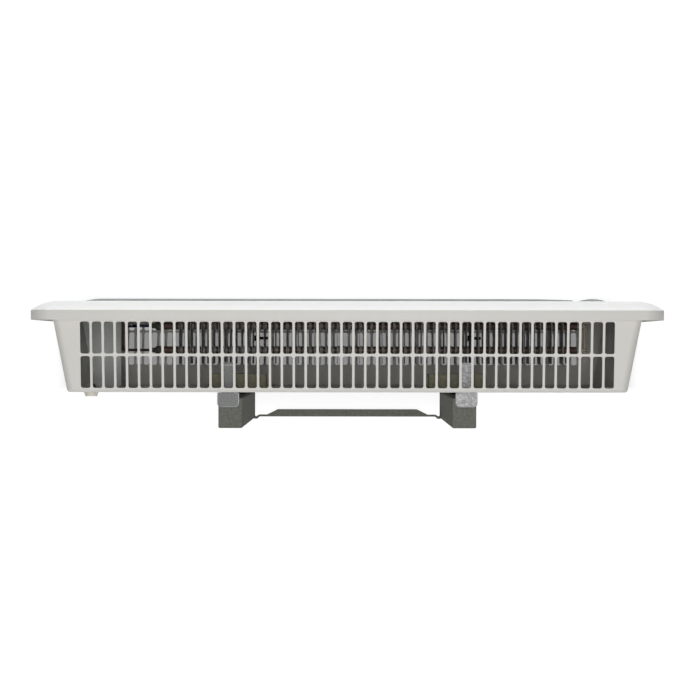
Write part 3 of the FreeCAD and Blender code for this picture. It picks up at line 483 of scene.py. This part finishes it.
def add_piece(name, build, body, finish, smooth=True):
    """New object from a bmesh, riding on a body of the heater."""
    bmesh.ops.recalc_face_normals(build, faces=build.faces)
    mesh = bpy.data.meshes.new(name)
    build.to_mesh(mesh)
    build.free()
    for face in mesh.polygons:
        face.use_smooth = smooth
    mesh.materials.append(finish)
    piece = bpy.data.objects.new(name, mesh)
    bpy.context.scene.collection.objects.link(piece)
    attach(piece, body)


def facing(place, axis):
    """Matrix that stands a turned shape at a place, with its own Z along axis."""
    return Matrix.Translation(place) @ Vector(axis).to_track_quat("Z", "Y").to_matrix().to_4x4()


def turned(build, profile, matrix, steps):
    """Turned shape from a profile of (radius, height) in millimetres; a last radius of 0 closes it."""
    rings = []
    for radius, height in profile:
        count = steps if radius > 0 else 1
        ring = []
        for i in range(count):
            turn = 2 * math.pi * i / steps
            point = Vector((radius * math.cos(turn), radius * math.sin(turn), height)) * MM
            ring.append(build.verts.new(matrix @ point))
        rings.append(ring)
    for first, second in zip(rings, rings[1:]):
        for i in range(steps):
            j = (i + 1) % steps
            if len(second) == 1:
                build.faces.new((first[i], first[j], second[0]))
            else:
                build.faces.new((first[i], first[j], second[j], second[i]))


def slab(build, size, thick, corner, matrix, steps):
    """Round-cornered plate in its own XY plane, from 0 up to its thickness; sizes in millimetres."""
    outline = []
    for k, (sx, sy) in enumerate(((1, 1), (-1, 1), (-1, -1), (1, -1))):
        for i in range(steps + 1):
            turn = math.pi / 2 * (k + i / steps)
            outline.append((sx * (size[0] / 2 - corner) + corner * math.cos(turn),
                            sy * (size[1] / 2 - corner) + corner * math.sin(turn)))
    rings = []
    for height in (0.0, thick):
        rings.append([build.verts.new(matrix @ (Vector((x, y, height)) * MM)) for x, y in outline])
    build.faces.new(rings[0][::-1])
    build.faces.new(rings[1])
    for i in range(len(outline)):
        j = (i + 1) % len(outline)
        build.faces.new((rings[0][i], rings[0][j], rings[1][j], rings[1][i]))


def terminal_boots():
    """Silicone boots over the wired ends of the two heating rods."""
    for end in ("front", "rear"):
        low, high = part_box("heating_rod_" + end)
        build = bmesh.new()
        place = (high[0] - BOOT_OVERLAP * MM, (low[1] + high[1]) / 2, (low[2] + high[2]) / 2)
        turned(build, BOOT_PROFILE, facing(place, (1, 0, 0)), BOOT_STEPS)
        add_piece("terminal_boot_" + end, build, "heater", BOOT_FINISH)


def back_rivets():
    """Blind rivets in the back panel where the hangers, the hook pockets and the partition are held."""
    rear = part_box("rear_casing")[1][1]
    finish = FINISHES["steel_screw"]
    for node, spread, share in RIVET_ROWS:
        low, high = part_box(node)
        x = low[0] + (high[0] - low[0]) * share
        foot = low[2] + POCKET_RIVET_RISE * MM if "pocket" in node else (low[2] + high[2]) / 2
        heights = [foot + spread * MM, foot - spread * MM] if spread else [foot]
        build = bmesh.new()
        for z in heights:
            turned(build, RIVET_PROFILE, facing((x, rear, z), (0, 1, 0)), RIVET_STEPS)
        add_piece("rivets_%s_%d" % (node, 100 * share), build, "heater", finish)


def dial_scale():
    """Printed scale round the thermostat knob: ticks from the top round to the left, and plain numbers."""
    low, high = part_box("thermostat_knob")
    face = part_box("control_panel")[0][1]
    middle = ((low[0] + high[0]) / 2, (low[2] + high[2]) / 2)
    ticks = bmesh.new()
    for i in range(SCALE_STEPS + 1):
        turn = math.radians(SCALE_SWEEP * i / SCALE_STEPS)
        length = TICK_LENGTHS[i % 2]
        reach = (SCALE_RADIUS + length / 2) * MM
        place = (middle[0] + reach * math.sin(turn), face, middle[1] + reach * math.cos(turn))
        spin = Matrix.Rotation(turn, 4, "Y")
        at = Matrix.Translation(place) @ spin @ Matrix.Rotation(math.pi / 2, 4, "X")
        slab(ticks, (TICK_WIDTH, length), INK_HEIGHT, TICK_WIDTH / 3, at, INK_CORNER_STEPS)
    add_piece("dial_ticks", ticks, "heater", DIAL_INK, False)
    for i in range(0, SCALE_STEPS + 1, 2):
        turn = math.radians(SCALE_SWEEP * i / SCALE_STEPS)
        curve = bpy.data.curves.new("dial_number", "FONT")
        curve.body = str(i // 2)
        curve.size = NUMBER_SIZE * MM
        curve.extrude = INK_HEIGHT * MM / 2
        curve.align_x = "CENTER"
        curve.align_y = "CENTER"
        source = bpy.data.objects.new("dial_number", curve)
        mesh = bpy.data.meshes.new_from_object(source)
        number = bmesh.new()
        number.from_mesh(mesh)
        reach = NUMBER_RADIUS * MM
        place = (middle[0] + reach * math.sin(turn), face - INK_HEIGHT * MM / 2,
                 middle[1] + reach * math.cos(turn))
        number.transform(Matrix.Translation(place) @ Matrix.Rotation(math.pi / 2, 4, "X"))
        bpy.data.objects.remove(source)
        bpy.data.curves.remove(curve)
        bpy.data.meshes.remove(mesh)
        add_piece("dial_number_%d" % (i // 2), number, "heater", DIAL_INK, False)


def half_face(node, pivot_z, upper):
    """Middle and outward direction of the upper or lower half of a rocker's front."""
    middle = Vector()
    outward = Vector()
    total = 0.0
    piece = nodes[node]
    for face in piece.data.polygons:
        centre = piece.matrix_world @ face.center
        normal = piece.matrix_world.to_3x3() @ face.normal
        if normal.y < FACING_FRONT and (centre.z > pivot_z) == upper:
            middle += centre * face.area
            outward += normal * face.area
            total += face.area
    return middle / total, outward.normalized()


def rocker_marks():
    """Printed bar for on and ring for off on each rocker switch."""
    joints = {row["child"]: row for row in frame["record"]["behaviour"]["joints"]}
    bar = (MARK_WIDTH, MARK_LENGTH)
    inner, outer = MARK_RING - MARK_WIDTH / 2, MARK_RING + MARK_WIDTH / 2
    ring = [(inner, 0.0), (outer, 0.0), (outer, INK_HEIGHT), (inner, INK_HEIGHT), (inner, 0.0)]
    for body, node in (("power_rocker", "power_switch_rocker"),
                       ("half_power_rocker", "half_power_switch_rocker")):
        pivot_z = joints[body]["pos_m"][2]
        build = bmesh.new()
        at = facing(*half_face(node, pivot_z, True))
        slab(build, bar, INK_HEIGHT, MARK_WIDTH / 3, at, INK_CORNER_STEPS)
        turned(build, ring, facing(*half_face(node, pivot_z, False)), MARK_STEPS)
        add_piece(node + "_marks", build, body, ROCKER_INK, False)


def rating_plate():
    """Bare foil plate on the back."""
    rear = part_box("rear_casing")[1][1]
    build = bmesh.new()
    at = facing((PLATE_PLACE[0] * MM, rear, PLATE_PLACE[1] * MM), (0, 1, 0))
    slab(build, PLATE_SIZE, PLATE_SHEET, PLATE_CORNER, at, PLATE_CORNER_STEPS)
    add_piece("rating_plate", build, "heater", FINISHES["bright_shield"], False)


dress_frame()
sheared_edges()
terminal_boots()
back_rivets()
dial_scale()
rocker_marks()
rating_plate()
studio_floor()
studio()
place_camera()
